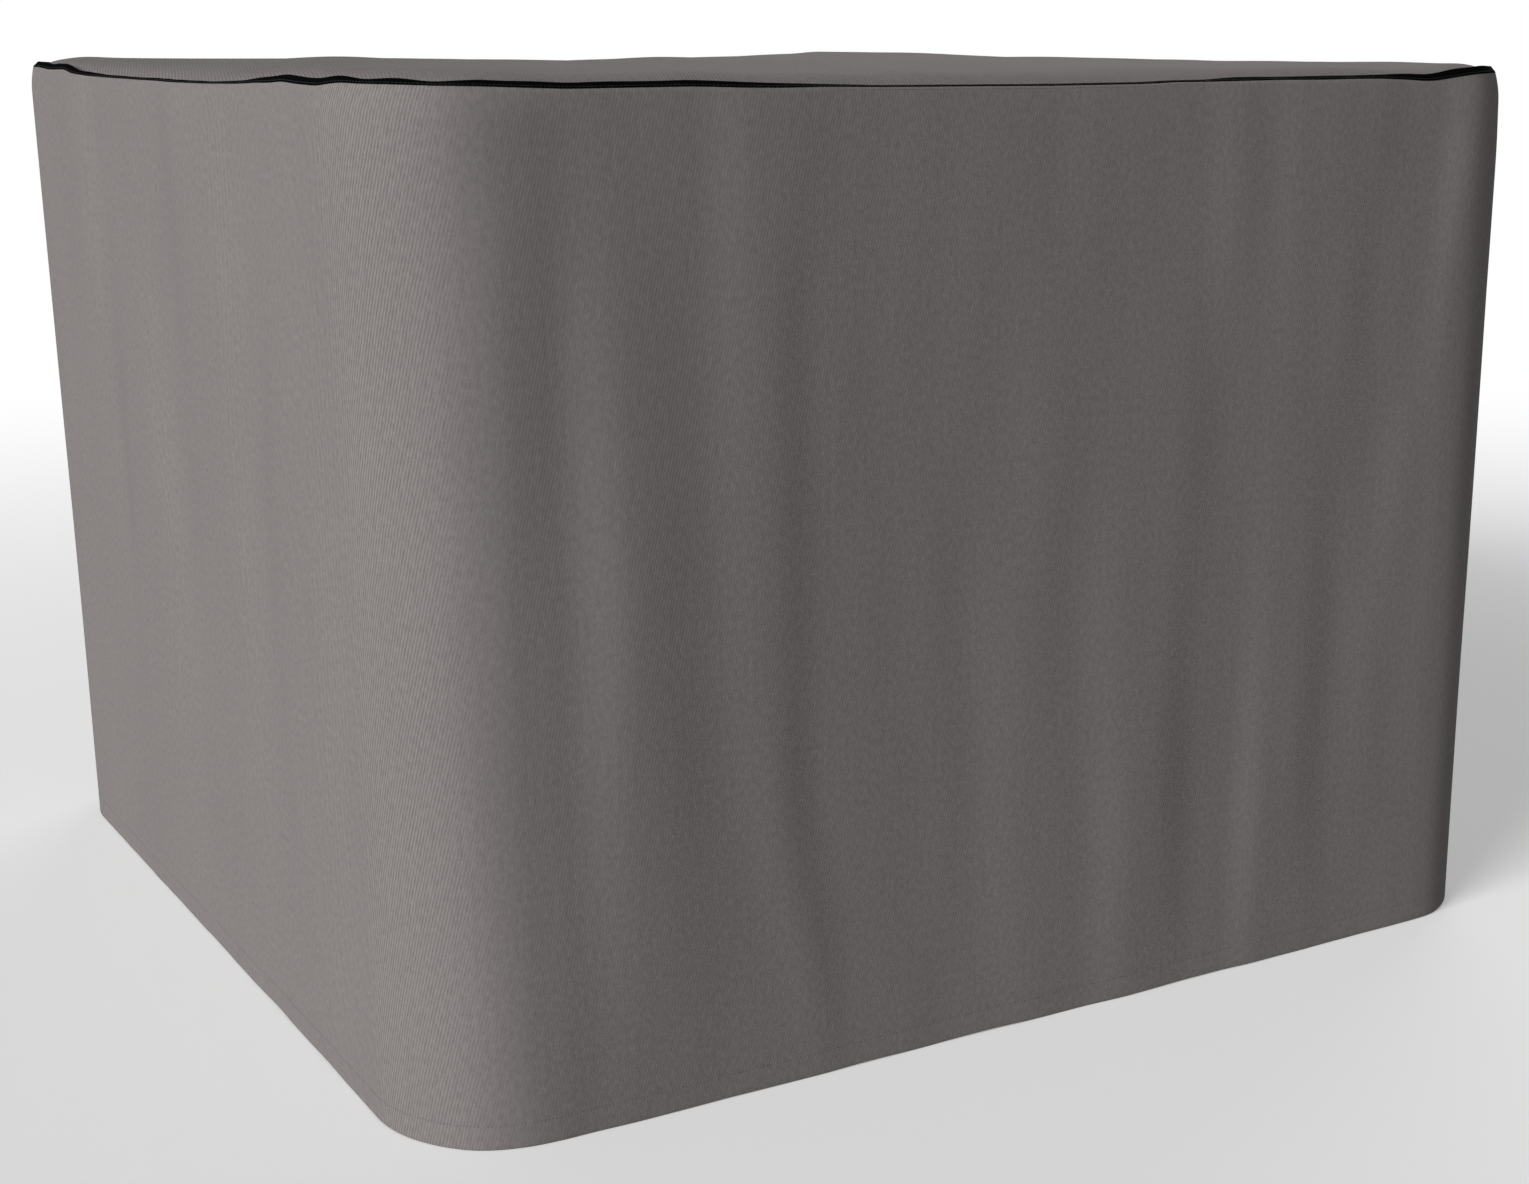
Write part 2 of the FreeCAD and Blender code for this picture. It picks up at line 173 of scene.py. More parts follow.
def band_step(band, s, z):
    """How far outwards a band has carried the cloth, for places s at heights z."""
    heights, places, turns = (np.array(column) for column in zip(*band.stations))
    centre = np.interp(z, heights, places)
    turn = np.radians(np.interp(z, heights, turns))
    along = np.clip((s - centre) / band.width + 0.5, 0, 1)
    return turn * band.width / 2 * (along - np.sin(FULL_TURN * along) / FULL_TURN)


def round_blur(values, spread):
    """A closed row of values round the cover, softened over a spread in metres. Rows may be stacked."""
    waves = np.fft.fftfreq(values.shape[-1], PERIMETER / values.shape[-1]) * FULL_TURN
    kept = np.exp(-0.5 * (waves * spread) ** 2)
    return np.fft.ifft(np.fft.fft(values, axis=-1) * kept, axis=-1).real


def upright_blur(rows, steps):
    """Stacked rows, softened upwards and downwards."""
    reach = int(3 * steps)
    weight = np.exp(-0.5 * (np.arange(-reach, reach + 1) / steps) ** 2)
    padded = np.pad(rows, ((reach, reach), (0, 0)), mode="edge")
    shifted = [padded[i:i + len(rows)] * w for i, w in enumerate(weight)]
    return sum(shifted) / weight.sum()


def ripples(rng, s, z):
    """Soft long ripples, mostly upright, that close on themselves round the cover."""
    total = np.zeros(np.broadcast(s, z).shape)
    for _ in range(RIPPLE_COUNT):
        turns = round(PERIMETER / rng.uniform(0.05, 0.22))
        tall = rng.uniform(0.35, 1.6)
        phase, tilt = rng.uniform(0, FULL_TURN, 2)
        total += np.cos(FULL_TURN * turns * s / PERIMETER + phase) * np.cos(FULL_TURN * z / tall + tilt)
    return total * RIPPLE_HEIGHT / math.sqrt(RIPPLE_COUNT / 4)


def fold_field():
    """The distance that the skirt stands out from its plan, for rows of heights and columns of s."""
    rng = np.random.default_rng(SEED)
    s = SIDE_SEAM - PERIMETER / 2 + np.arange(COLUMNS) * PERIMETER / COLUMNS
    z = np.linspace(0, SEAM_Z, FOLD_ROWS)[:, None]
    bands = FRONT_BANDS + LEFT_BANDS + side_bands(rng, UNSEEN_START, UNSEEN_STOP)
    field = sum(band_step(band, s, z) for band in bands)
    last = sum(band_step(band, s[:1] + PERIMETER, z) for band in bands)
    field = field - last * (s - s[0]) / PERIMETER
    field = upright_blur(field, FOLD_BLUR)
    field = field - round_blur(field, DRIFT_SPREAD)
    field = field + ripples(rng, s, z)
    held = 1 - (1 - SEAM_HOLD) * smooth_step(z, SHOULDER_Z - SEAM_GRIP, SEAM_Z)
    return field * held


FOLDS = fold_field()


def round_lookup(rows, s):
    """Values of a closed row at places s."""
    spot = np.mod((np.asarray(s, float) - (SIDE_SEAM - PERIMETER / 2)) / PERIMETER, 1) * COLUMNS
    low = np.floor(spot).astype(int) % COLUMNS
    share = spot - np.floor(spot)
    return rows[..., low] * (1 - share) + rows[..., (low + 1) % COLUMNS] * share


def fold(s, z):
    """The distance that the skirt stands out from its plan at s and z."""
    s, z = np.broadcast_arrays(np.asarray(s, float), np.asarray(z, float))
    level = np.clip(z / SEAM_Z, 0, 1) * (len(FOLDS) - 1)
    low = np.minimum(np.floor(level).astype(int), len(FOLDS) - 2)
    spot = np.mod((s - (SIDE_SEAM - PERIMETER / 2)) / PERIMETER, 1) * COLUMNS
    left = np.floor(spot).astype(int) % COLUMNS
    right = (left + 1) % COLUMNS
    across, up = spot - np.floor(spot), level - low
    lower = FOLDS[low, left] * (1 - across) + FOLDS[low, right] * across
    upper = FOLDS[low + 1, left] * (1 - across) + FOLDS[low + 1, right] * across
    return lower * (1 - up) + upper * up


# ---------------------------------------------------------------- the top seam's line

# How high the seam lies above its level in millimetres, and how far the binding leans inwards in
# degrees, at places s. It stands up round the corners and lies flat along the middles of the sides.
SEAM_STATIONS = [
    (-1.860, 11.6, 44), (-1.800, 9.2, 40), (-1.720, 10.0, 32), (-1.680, 5.9, 56), (-1.620, 3.4, 68),
    (-1.540, 3.1, 76), (-1.400, 2.1, 75), (-1.200, 1.6, 76), (-1.100, 1.9, 77), (-1.020, 2.8, 68),
    (-0.970, 4.3, 57), (-0.920, 4.9, 47), (-0.880, 6.6, 45), (-0.840, 5.3, 41), (-0.778, 4.2, 38),
    (-0.750, 6.8, 42), (-0.738, 7.6, 50), (-0.715, 6.8, 65), (-0.680, 6.4, 52), (-0.645, 5.6, 70),
    (-0.600, 4.7, 53), (-0.520, 2.0, 51), (-0.440, 2.6, 49), (-0.400, 3.0, 51), (-0.340, 1.4, 56),
    (-0.300, 1.0, 63), (-0.260, 1.6, 75), (-0.200, 0.9, 80), (0.000, 0.2, 80), (0.120, 1.0, 79),
    (0.160, 2.5, 79), (0.200, 2.4, 77), (0.240, 2.9, 66), (0.300, 3.5, 70), (0.350, 3.2, 65),
    (0.400, 3.8, 68), (0.440, 3.6, 59), (0.475, 2.4, 46), (0.510, 0.4, 30), (0.530, 1.3, 20),
    (0.560, 4.9, 8), (0.590, 7.5, 24), (0.630, 8.5, 34), (0.700, 8.0, 46), (0.900, 5.0, 58),
    (1.100, 3.0, 70), (1.400, 2.0, 78), (1.700, 3.0, 66), (1.850, 6.5, 44), (2.000, 8.0, 30),
    (2.200, 6.0, 45), (2.400, 2.5, 64), (2.800, 1.5, 76), (3.100, 3.0, 60), (3.250, 8.0, 50),
    (3.393, 11.8, 48),
]
SEAM_SOFTNESS = 0.0055  # the distance over which those are softened
INSET_BEFORE = 0.05  # the top seam draws in from this far before a corner's bend
INSET_AFTER = 0.06  # to this far into it


def seam_rows():
    """The seam's rise and the binding's lean, for the columns round the cover."""
    columns = SIDE_SEAM - PERIMETER / 2 + np.arange(COLUMNS) * PERIMETER / COLUMNS
    places, rises, leans = (np.array(column, float) for column in zip(*SEAM_STATIONS))
    rise = np.interp(columns, places, rises / 1000, period=PERIMETER)
    lean = np.interp(columns, places, np.radians(leans), period=PERIMETER)
    return round_blur(rise, SEAM_SOFTNESS), round_blur(lean, SEAM_SOFTNESS)


SEAM_RISE, SEAM_LEAN = seam_rows()


def ring_point(side, along, half, radius):
    """A point of a rounded square and its outward normal.

    Side 0 is the front, and the others follow anticlockwise. along is the distance from the middle of
    the side, up to the middles of its corners.
    """
    side, along, half, radius = np.broadcast_arrays(side, along, half, radius)
    straight = half - radius
    angle = np.clip(np.abs(along) - straight, 0, None) / radius * np.sign(along)
    x = np.clip(along, -straight, straight) + radius * np.sin(angle)
    y = -straight - radius * np.cos(angle)
    turn = side * math.pi / 2
    normal = np.stack([np.sin(angle + turn), -np.cos(angle + turn)], -1)
    point = np.stack([x * np.cos(turn) - y * np.sin(turn), x * np.sin(turn) + y * np.cos(turn)], -1)
    return point, normal


def outline(s):
    """The cover's plan at places s: points and outward normals."""
    side = np.round(np.asarray(s, float) / QUARTER)
    return ring_point(side, s - side * QUARTER, WALL, CORNER_RADIUS)


def upright(point, z):
    """Plan points at heights z."""
    return np.concatenate([point, np.broadcast_to(z, point.shape[:-1])[..., None]], -1)


def wall_point(s, z, depth=0.0):
    """A point of the skirt's wall, or a depth inside it."""
    point, normal = outline(s)
    out = fold(s, z) - depth
    return upright(point + normal * np.asarray(out)[..., None], z)


def seam_inset(s):
    """How far inside the wall the top seam lies at places s."""
    along = np.abs(s - np.round(np.asarray(s, float) / QUARTER) * QUARTER)
    corner = smooth_step(along, STRAIGHT - INSET_BEFORE, STRAIGHT + INSET_AFTER)
    return SHOULDER_INSET * (SIDE_INSET_SHARE + (1 - SIDE_INSET_SHARE) * corner)


def seam_point(s, up, across):
    """A point of the top seam, up the standing layers and across them from the skirt's right side."""
    point, normal = outline(s)
    lean = round_lookup(SEAM_LEAN, s)
    z = SEAM_Z + round_lookup(SEAM_RISE, s)
    out = fold(s, SEAM_Z) - seam_inset(s) - up * np.sin(lean) - across * np.cos(lean)
    z = z + up * np.cos(lean) - across * np.sin(lean)
    return upright(point + normal * out[..., None], z)


# ---------------------------------------------------------------- meshes

UV_MAP = "cloth"


def grid_object(name, points, flat, closed=False, flip=False):
    """A mesh of quads over rows and columns of points.

    flat gives each point's place on the cut cloth, in metres, with one more column than points where
    the columns close on themselves.
    """
    rows, columns = points.shape[:2]
    spans = columns if closed else columns - 1
    row, column = np.mgrid[0:rows - 1, 0:spans]
    row, column = row.ravel(), column.ravel()
    corners = [(row, column), (row, column + 1), (row + 1, column + 1), (row + 1, column)]
    if flip:
        corners.reverse()
    faces = np.stack([r * columns + c % columns for r, c in corners], -1)
    places = np.stack([flat[r, c] for r, c in corners], 1)
    return mesh_object(name, points.reshape(-1, 3), faces, places.reshape(-1, 2))


def mesh_object(name, points, faces, places):
    """A smooth mesh object from points, equal-sided faces and one cloth place for each face corner."""
    mesh = bpy.data.meshes.new(name)
    mesh.from_pydata(points.tolist(), [], faces.tolist())
    layer = mesh.uv_layers.new(name=UV_MAP)
    layer.data.foreach_set("uv", places.astype(np.float32).ravel())
    mesh.shade_smooth()
    mesh.update()
    made = bpy.data.objects.new(name, mesh)
    bpy.context.scene.collection.objects.link(made)
    return made


def thicken(piece, thickness, *materials):
    """Gives a sheet its thickness behind its right side. A second material covers the wrong side."""
    for material in materials:
        piece.data.materials.append(material)
    solid = piece.modifiers.new("Thickness", "SOLIDIFY")
    solid.thickness = thickness
    solid.offset = -1
    solid.material_offset = len(materials) - 1
    solid.material_offset_rim = 0


def place(piece, slot, *nodes):
    """Puts a piece on the cover's body, in place of its CAD nodes."""
    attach(piece, BODY)
    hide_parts(*nodes)


# ---------------------------------------------------------------- materials

def colour(red, green, blue):
    """An opaque colour."""
    return (red, green, blue, 1.0)


class Shader:
    """A material's node tree, built a node at a time."""

    def __init__(self, name, base, roughness, sheen=0.0, specular=0.3):
        self.material = bpy.data.materials.new(name)
        self.material.use_nodes = True
        self.tree = self.material.node_tree
        self.surface = self.tree.nodes["Principled BSDF"]
        self.surface.inputs["Base Color"].default_value = base
        self.surface.inputs["Roughness"].default_value = roughness
        self.surface.inputs["Sheen Weight"].default_value = sheen
        self.surface.inputs["Sheen Roughness"].default_value = 0.45
        self.surface.inputs["Specular IOR Level"].default_value = specular
        self.cloth = self.add("ShaderNodeUVMap", uv_map=UV_MAP).outputs["UV"]

    def add(self, kind, **settings):
        """Adds a node."""
        node = self.tree.nodes.new(kind)
        for key, value in settings.items():
            setattr(node, key, value)
        return node

    def join(self, source, socket):
        """Links an output to an input, or sets the input to a plain value."""
        if isinstance(source, bpy.types.NodeSocket):
            self.tree.links.new(source, socket)
        else:
            socket.default_value = source

    def math(self, operation, *values):
        """Does one sum with outputs or plain values."""
        node = self.add("ShaderNodeMath", operation=operation)
        for value, socket in zip(values, node.inputs):
            self.join(value, socket)
        return node.outputs[0]

    def total(self, *values):
        """Adds up any number of outputs."""
        result = values[0]
        for value in values[1:]:
            result = self.math("ADD", result, value)
        return result

    def waves(self, per_metre_across, per_metre_along, wander=None, lead=0.0):
        """Even ribs over the cloth, from -1 to 1, with so many to the metre in each direction.

        lead moves them along by a share of a rib.
        """
        dot = self.add("ShaderNodeVectorMath", operation="DOT_PRODUCT")
        self.join(self.cloth, dot.inputs[0])
        dot.inputs[1].default_value = (per_metre_across, per_metre_along, 0)
        count = dot.outputs["Value"]
        if wander is not None:
            count = self.math("ADD", count, wander)
        if lead:
            count = self.math("ADD", count, lead)
        return self.math("SINE", self.math("MULTIPLY", count, FULL_TURN))

    def noise(self, across, along, detail=2.0, strength=1.0):
        """Soft noise over the cloth, about 0, with so many blots to the metre in each direction."""
        stretch = self.add("ShaderNodeMapping")
        self.join(self.cloth, stretch.inputs["Vector"])
        stretch.inputs["Scale"].default_value = (across, along, 1)
        noise = self.add("ShaderNodeTexNoise", noise_dimensions="2D")
        self.join(stretch.outputs["Vector"], noise.inputs["Vector"])
        noise.inputs["Scale"].default_value = 1.0
        noise.inputs["Detail"].default_value = detail
        middle = self.math("SUBTRACT", noise.outputs["Fac"], 0.5)
        return self.math("MULTIPLY", middle, 2 * strength)

    def shade(self, value, dark, light):
        """Colours the surface between two tones by a value from -1 to 1."""
        spread = self.add("ShaderNodeMapRange")
        self.join(value, spread.inputs["Value"])
        spread.inputs["From Min"].default_value = -1
        spread.inputs["From Max"].default_value = 1
        mix = self.add("ShaderNodeMix", data_type="RGBA")
        self.join(spread.outputs["Result"], mix.inputs["Factor"])
        ends = {"A": dark, "B": light}
        for socket in mix.inputs:
            if socket.type == "RGBA":
                socket.default_value = ends[socket.name]
        result = next(socket for socket in mix.outputs if socket.type == "RGBA")
        self.join(result, self.surface.inputs["Base Color"])

    def relief(self, height, depth):
        """Raises the surface by a height from -1 to 1, times a depth in metres."""
        bump = self.add("ShaderNodeBump")
        bump.inputs["Distance"].default_value = depth
        self.join(height, bump.inputs["Height"])
        self.join(bump.outputs["Normal"], self.surface.inputs["Normal"])

    def roughen(self, value, middle, spread):
        """Varies the roughness about its middle value."""
        swing = self.math("MULTIPLY", value, spread)
        self.join(self.math("ADD", swing, middle), self.surface.inputs["Roughness"])


def tone(base, share):
    """A colour made darker or lighter by a share."""
    return colour(*(channel * share for channel in base))


SLOT_COLOURS = {m["slot"]: m["base_color"] for m in frame["record"]["materials"]}
TWILL_ACROSS = 1 / 0.0034  # ribs to the metre along the cover
TWILL_ALONG = -1 / 0.0125  # and upwards: the ribs rise steeply to the right


def cover_cloth():
    """The outside of the cover: a matt taupe twill with uneven yarns."""
    base = SLOT_COLOURS["cover_fabric"]
    cloth = Shader("cover_twill", colour(*base), 0.95, sheen=0.02, specular=0.03)
    wander = cloth.noise(22, 8, detail=1, strength=0.4)
    ribs = cloth.waves(TWILL_ACROSS, TWILL_ALONG, wander)
    # Each ridge stands a quarter of a rib beside its light line, so the low key light softens the ribs
    # on the front and leaves them clear round the near corner.
    ridges = cloth.waves(TWILL_ACROSS, TWILL_ALONG, wander, lead=0.25)
    yarns = cloth.waves(230, 620)
    slubs = cloth.noise(420, 7, detail=2)
    heather = cloth.noise(560, 420, detail=2)
    mottle = cloth.noise(190, 130, detail=2)
    clouds = cloth.noise(7, 4, detail=3)
    tint = cloth.total(
        cloth.math("MULTIPLY", ribs, 0.80),
        cloth.math("MULTIPLY", yarns, 0.06),
        cloth.math("MULTIPLY", slubs, 0.14),
        cloth.math("MULTIPLY", heather, 0.55),
        cloth.math("MULTIPLY", mottle, 0.62),
        cloth.math("MULTIPLY", clouds, 0.14),
    )
    cloth.shade(tint, tone(base, 0.72), tone(base, 1.28))
    height = cloth.total(
        ridges,
        cloth.math("MULTIPLY", yarns, 0.1),
        cloth.math("MULTIPLY", slubs, 0.1),
        cloth.math("MULTIPLY", heather, 0.2),
    )
    cloth.relief(height, 0.00010)
    cloth.roughen(slubs, 0.90, 0.06)
    return cloth.material


def coated_back():
    """The cover's wrong side: a thin grey coating through which the weave shows faintly."""
    base = tone(SLOT_COLOURS["cover_fabric"], 1.15)
    back = Shader("cover_coating", base, 0.55, specular=0.4)
    weave = back.waves(TWILL_ACROSS, -TWILL_ALONG)
    smears = back.noise(22, 15, detail=4)
    grain = back.noise(900, 900, detail=1)
    tint = back.total(back.math("MULTIPLY", smears, 0.7), back.math("MULTIPLY", grain, 0.4))
    back.shade(tint, tone(base[:3], 0.86), tone(base[:3], 1.14))
    back.relief(back.total(back.math("MULTIPLY", weave, 0.5), grain), 0.00005)
    back.roughen(smears, 0.55, 0.16)
    return back.material


def binding_cloth():
    """Black binding tape, ribbed across its length."""
    base = SLOT_COLOURS["binding_tape"]
    tape = Shader("binding_ribbed_tape", colour(*base), 0.95, specular=0.01)
    ribs = tape.waves(1100, 0)
    crossing = tape.waves(0, 1500)
    fuzz = tape.noise(700, 500, detail=2)
    tint = tape.total(tape.math("MULTIPLY", ribs, 0.4), fuzz)
    tape.shade(tint, tone(base, 0.3), tone(base, 1.2))
    tape.relief(tape.total(ribs, tape.math("MULTIPLY", crossing, 0.4), fuzz), 0.00008)
    tape.roughen(fuzz, 0.88, 0.08)
    return tape.material


def thread(name, slot):
    """Twisted sewing thread."""
    base = SLOT_COLOURS[slot]
    yarn = Shader(name, colour(*base), 0.6, sheen=0.05, specular=0.35)
    twist = yarn.waves(900, 900)
    fuzz = yarn.noise(900, 900, detail=1)
    tint = yarn.total(yarn.math("MULTIPLY", twist, 0.6), fuzz)
    yarn.shade(tint, tone(base, 0.7), tone(base, 1.3))
    yarn.relief(twist, 0.00006)
    yarn.roughen(fuzz, 0.6, 0.1)
    return yarn.material


def sealing_tape():
    """Matt heat-sealed tape, slightly dimpled by the press."""
    base = SLOT_COLOURS["seam_tape"]
    tape = Shader("sealing_tape", colour(*base), 0.5, specular=0.45)
    dimples = tape.noise(260, 260, detail=1)
    smears = tape.noise(18, 30, detail=3)
    press = tape.waves(0, 420)
    tint = tape.total(smears, tape.math("MULTIPLY", dimples, 0.3))
    tape.shade(tint, tone(base, 0.85), tone(base, 1.12))
    tape.relief(tape.total(dimples, tape.math("MULTIPLY", press, 0.3)), 0.00006)
    tape.roughen(smears, 0.5, 0.15)
    return tape.material


def label_weave():
    """Plain white label cloth with nothing printed on it."""
    base = SLOT_COLOURS["label_cloth"]
    weave = Shader("label_weave", colour(*base), 0.8, sheen=0.1, specular=0.25)
    warp = weave.waves(2200, 0)
    weft = weave.waves(0, 2000)
    stains = weave.noise(60, 45, detail=3)
    tint = weave.total(weave.math("MULTIPLY", weave.math("MULTIPLY", warp, weft), 0.3), stains)
    weave.shade(tint, tone(base, 0.88), tone(base, 1.06))
    weave.relief(weave.math("MULTIPLY", warp, weft), 0.00005)
    weave.roughen(stains, 0.8, 0.1)
    return weave.material


# ---------------------------------------------------------------- the skirt

HEM_TURN = 0.0012  # the cloth folds over within this distance of the skirt's lower edge
HEM_BACK_END = 0.002  # the rows of the turned-up part stop this far short of that edge
HEM_FRONT_ROWS = [0.006, 0.012, 0.018, 0.022, 0.025, 0.028, 0.033]  # closer near the stitches
WALL_START = 0.042  # the wall's even rows begin at this height
HEM_PUCKER = 0.0002  # how deep the hem's stitches pull the cloth in
PUCKER_REACH = 0.0035  # and how far up and down
HEM_WAVE = 0.0012  # the most that the hem is off the ground
HEM_WAVE_FADE = (0.02, 0.2)  # and the heights between which that wave dies out
LAP_END = 0.006  # the lap closes over this distance below the flange
RISE_START = 0.55 * SEAM_Z  # the wall is stretched up to meet the seam's line above this height


def skirt_rows():
    """Distances up the skirt's section, below 0 on the turned-up hem, to the top of the flange."""
    hem = np.linspace(-HEM, -HEM_BACK_END, 6)
    turn = np.linspace(-HEM_TURN, HEM_TURN, 5)
    wall = np.arange(WALL_START, SHOULDER_Z, ROW)
    shoulder = SHOULDER_Z + np.linspace(0, shoulder_length(), 9)
    flange = SHOULDER_Z + shoulder_length() + FLANGE * FLANGE_STEPS
    return np.concatenate([hem, turn, HEM_FRONT_ROWS, wall, shoulder, flange])


def shoulder_radius():
    """The radius of the bend from the wall to the corners' top seam."""
    return (SHOULDER_DROP ** 2 + SHOULDER_INSET ** 2) / (2 * SHOULDER_INSET)


def shoulder_length():
    """The length of that bend."""
    return shoulder_radius() * math.asin(SHOULDER_DROP / shoulder_radius())


def hem_line(s):
    """How far the hem's edge is lifted off the ground at places s."""
    turn = FULL_TURN * s / PERIMETER
    wave = 0.5 + 0.5 * np.cos(23 * turn + 2 * np.cos(7 * turn))
    return HEM_WAVE * wave * (0.6 + 0.4 * np.cos(5 * turn))


def skirt_point(s, v, lap):
    """A point of the skirt's right side: s round the cover, v up the section.

    lap is how far the panel stands out over its neighbour.
    """
    radius = shoulder_radius()
    shoulder_end = SHOULDER_Z + shoulder_length()
    bend = np.clip((v - SHOULDER_Z) / radius, 0, shoulder_length() / radius)
    z = np.where(v < SHOULDER_Z, np.abs(v), SHOULDER_Z + radius * np.sin(bend))
    inset = radius * (1 - np.cos(bend)) * seam_inset(s) / SHOULDER_INSET
    z = z + round_lookup(SEAM_RISE, s) * smooth_step(z, RISE_START, SEAM_Z)
    fold_room = 2 * CLOTH + 3 * GAP
    turned = smooth_step(-v, -HEM_TURN, HEM_TURN)
    lap_now = lap * (1 - smooth_step(v, shoulder_end - LAP_END, shoulder_end))
    pucker = HEM_PUCKER * np.exp(-((z - HEM_STITCH_Z) / PUCKER_REACH) ** 2) * (1 - turned)
    out = fold(s, z) - inset - pucker + lap_now * (1 - 2 * turned) - fold_room * turned
    z = z + hem_line(s) * (1 - smooth_step(z, *HEM_WAVE_FADE))
    point, normal = outline(s)
    return upright(point + normal * out[..., None], z)


def skirt_panel(name, node, start, materials, laps_over):
    """One skirt panel, from its hem's edge inside to the top of its flange."""
    inner = start + np.arange(COLUMNS // 2 + 1) * PERIMETER / COLUMNS
    edge = np.array([-LAP, -LAP * 0.6, -LAP * 0.25])
    s = np.concatenate([start + edge, inner[0:1], inner[1:-1], inner[-1:], inner[-1] - edge[::-1]])
    v = skirt_rows()
    s, v = np.meshgrid(s, v)
    near_end = np.minimum(s - (start - LAP), start + PERIMETER / 2 + LAP - s)
    lap = LAP_STANDOFF * (1 - smooth_step(near_end, 2 * LAP, 2.6 * LAP)) * laps_over
    points = skirt_point(s, v, lap)
    top = v > SHOULDER_Z + shoulder_length() + 1e-6
    up = v - SHOULDER_Z - shoulder_length()
    points[top] = seam_point(s, up, 0.0)[top]
    piece = grid_object(name, points, np.stack([s, v], -1))
    thicken(piece, CLOTH, *materials)
    place(piece, "cover_fabric", node)


# ---------------------------------------------------------------- the top panel

RIM_STEPS = [0.0, 0.0015, 0.004, 0.0075, 0.012, 0.018, 0.025, 0.033]  # rows just inside the seam
TOP_CELL = 0.0078  # the size of the other cells
RIM_PUFF = 0.5  # the share of the crown's rise that is reached just inside the binding
RIM_REACH = 0.014  # the distance over which it does
RIM_SOFTNESS = 0.002  # and how softly that begins
CROWN_REACH = 0.45  # the crown is level this far inside the seam
RISE_REACH = 0.11  # the seam's rises and dips fade out over this distance
UNDER_REACH = 0.024  # the dip under a leaning binding fades out over this one
SHIFT_REACH = 0.03  # and the seam's bends in plan over this one
LOOSE_REACH = 0.06  # swells and ripples reach their full height this far inside the seam
PLAN_BLEND = (0.02, 0.12)  # between these depths the rings change from the plan to rounded squares
RING_RADIUS = 0.004  # the least radius of a ring's corners
BINDING_FOOT = 0.0004  # the binding's lower edges, up from the seam's line
BINDING_TOP = 0.0096  # and its fold
BINDING_WOBBLE = 0.00035  # how far a quick waver carries that fold up and down
BINDING_SWELL = 0.04  # and the share by which the binding's height slowly changes
BINDING_STACK = 2 * CLOTH + TAPE + 4 * GAP  # the top panel keeps this far below a leaning binding

Swell = namedtuple("Swell", "x y wide deep height")
# The crown peaks towards the back right, where the cloth also lies in a few low wrinkles.
TOP_SWELLS = [
    Swell(0.38, 0.26, 0.18, 0.22, 0.0050),
    Swell(0.33, 0.33, 0.022, 0.08, 0.0030),
    Swell(0.41, 0.40, 0.030, 0.10, 0.0012),
    Swell(0.50, 0.34, 0.028, 0.09, 0.0012),
    Swell(-0.62, 0.60, 0.03, 0.05, 0.0030),
    Swell(-0.12, 0.14, 0.24, 0.24, -0.0050),
    Swell(0.02, 0.32, 0.20, 0.20, -0.0045),
    Swell(-0.30, -0.30, 0.20, 0.16, -0.0020),
    Swell(0.45, -0.42, 0.16, 0.12, -0.0020),
]
TOP_RIPPLES = 40
TOP_RIPPLE_HEIGHT = 0.0007


def top_ripples(x, y):
    """Soft ripples of the top panel."""
    rng = np.random.default_rng(SEED + 1)
    total = np.zeros(x.shape)
    for _ in range(TOP_RIPPLES):
        length = rng.uniform(0.09, 0.4)
        heading, phase = rng.uniform(0, FULL_TURN, 2)
        total += np.cos(FULL_TURN * (x * math.cos(heading) + y * math.sin(heading)) / length + phase)
    return total * TOP_RIPPLE_HEIGHT / math.sqrt(TOP_RIPPLES / 2)


def top_height(x, y, s, inside):
    """The top panel's height, a distance inside the seam.

    It dips under the binding where that leans inwards, and puffs up beyond it.
    """
    lean = round_lookup(SEAM_LEAN, s)
    covered = BINDING_TOP * np.sin(lean)
    beyond = np.logaddexp(0, (inside - covered) / RIM_SOFTNESS) * RIM_SOFTNESS
    rim = RIM_PUFF * CROWN_RISE * (1 - np.exp(-beyond / RIM_REACH))
    share = np.clip(inside / CROWN_REACH, 0, 1)
    crown = (1 - RIM_PUFF) * CROWN_RISE * (1 - (1 - share) ** 2)
    swells = sum(
        swell.height * np.exp(-(((x - swell.x) / swell.wide) ** 2 + ((y - swell.y) / swell.deep) ** 2))
        for swell in TOP_SWELLS
    )
    loose = smooth_step(inside, 0.0, LOOSE_REACH)
    seam = round_lookup(SEAM_RISE, s) * np.exp(-inside / RISE_REACH)
    under = BINDING_STACK * np.sin(lean) * np.exp(-(inside / UNDER_REACH) ** 2)
    return SEAM_Z + seam - under + rim + crown + (swells + top_ripples(x, y)) * loose


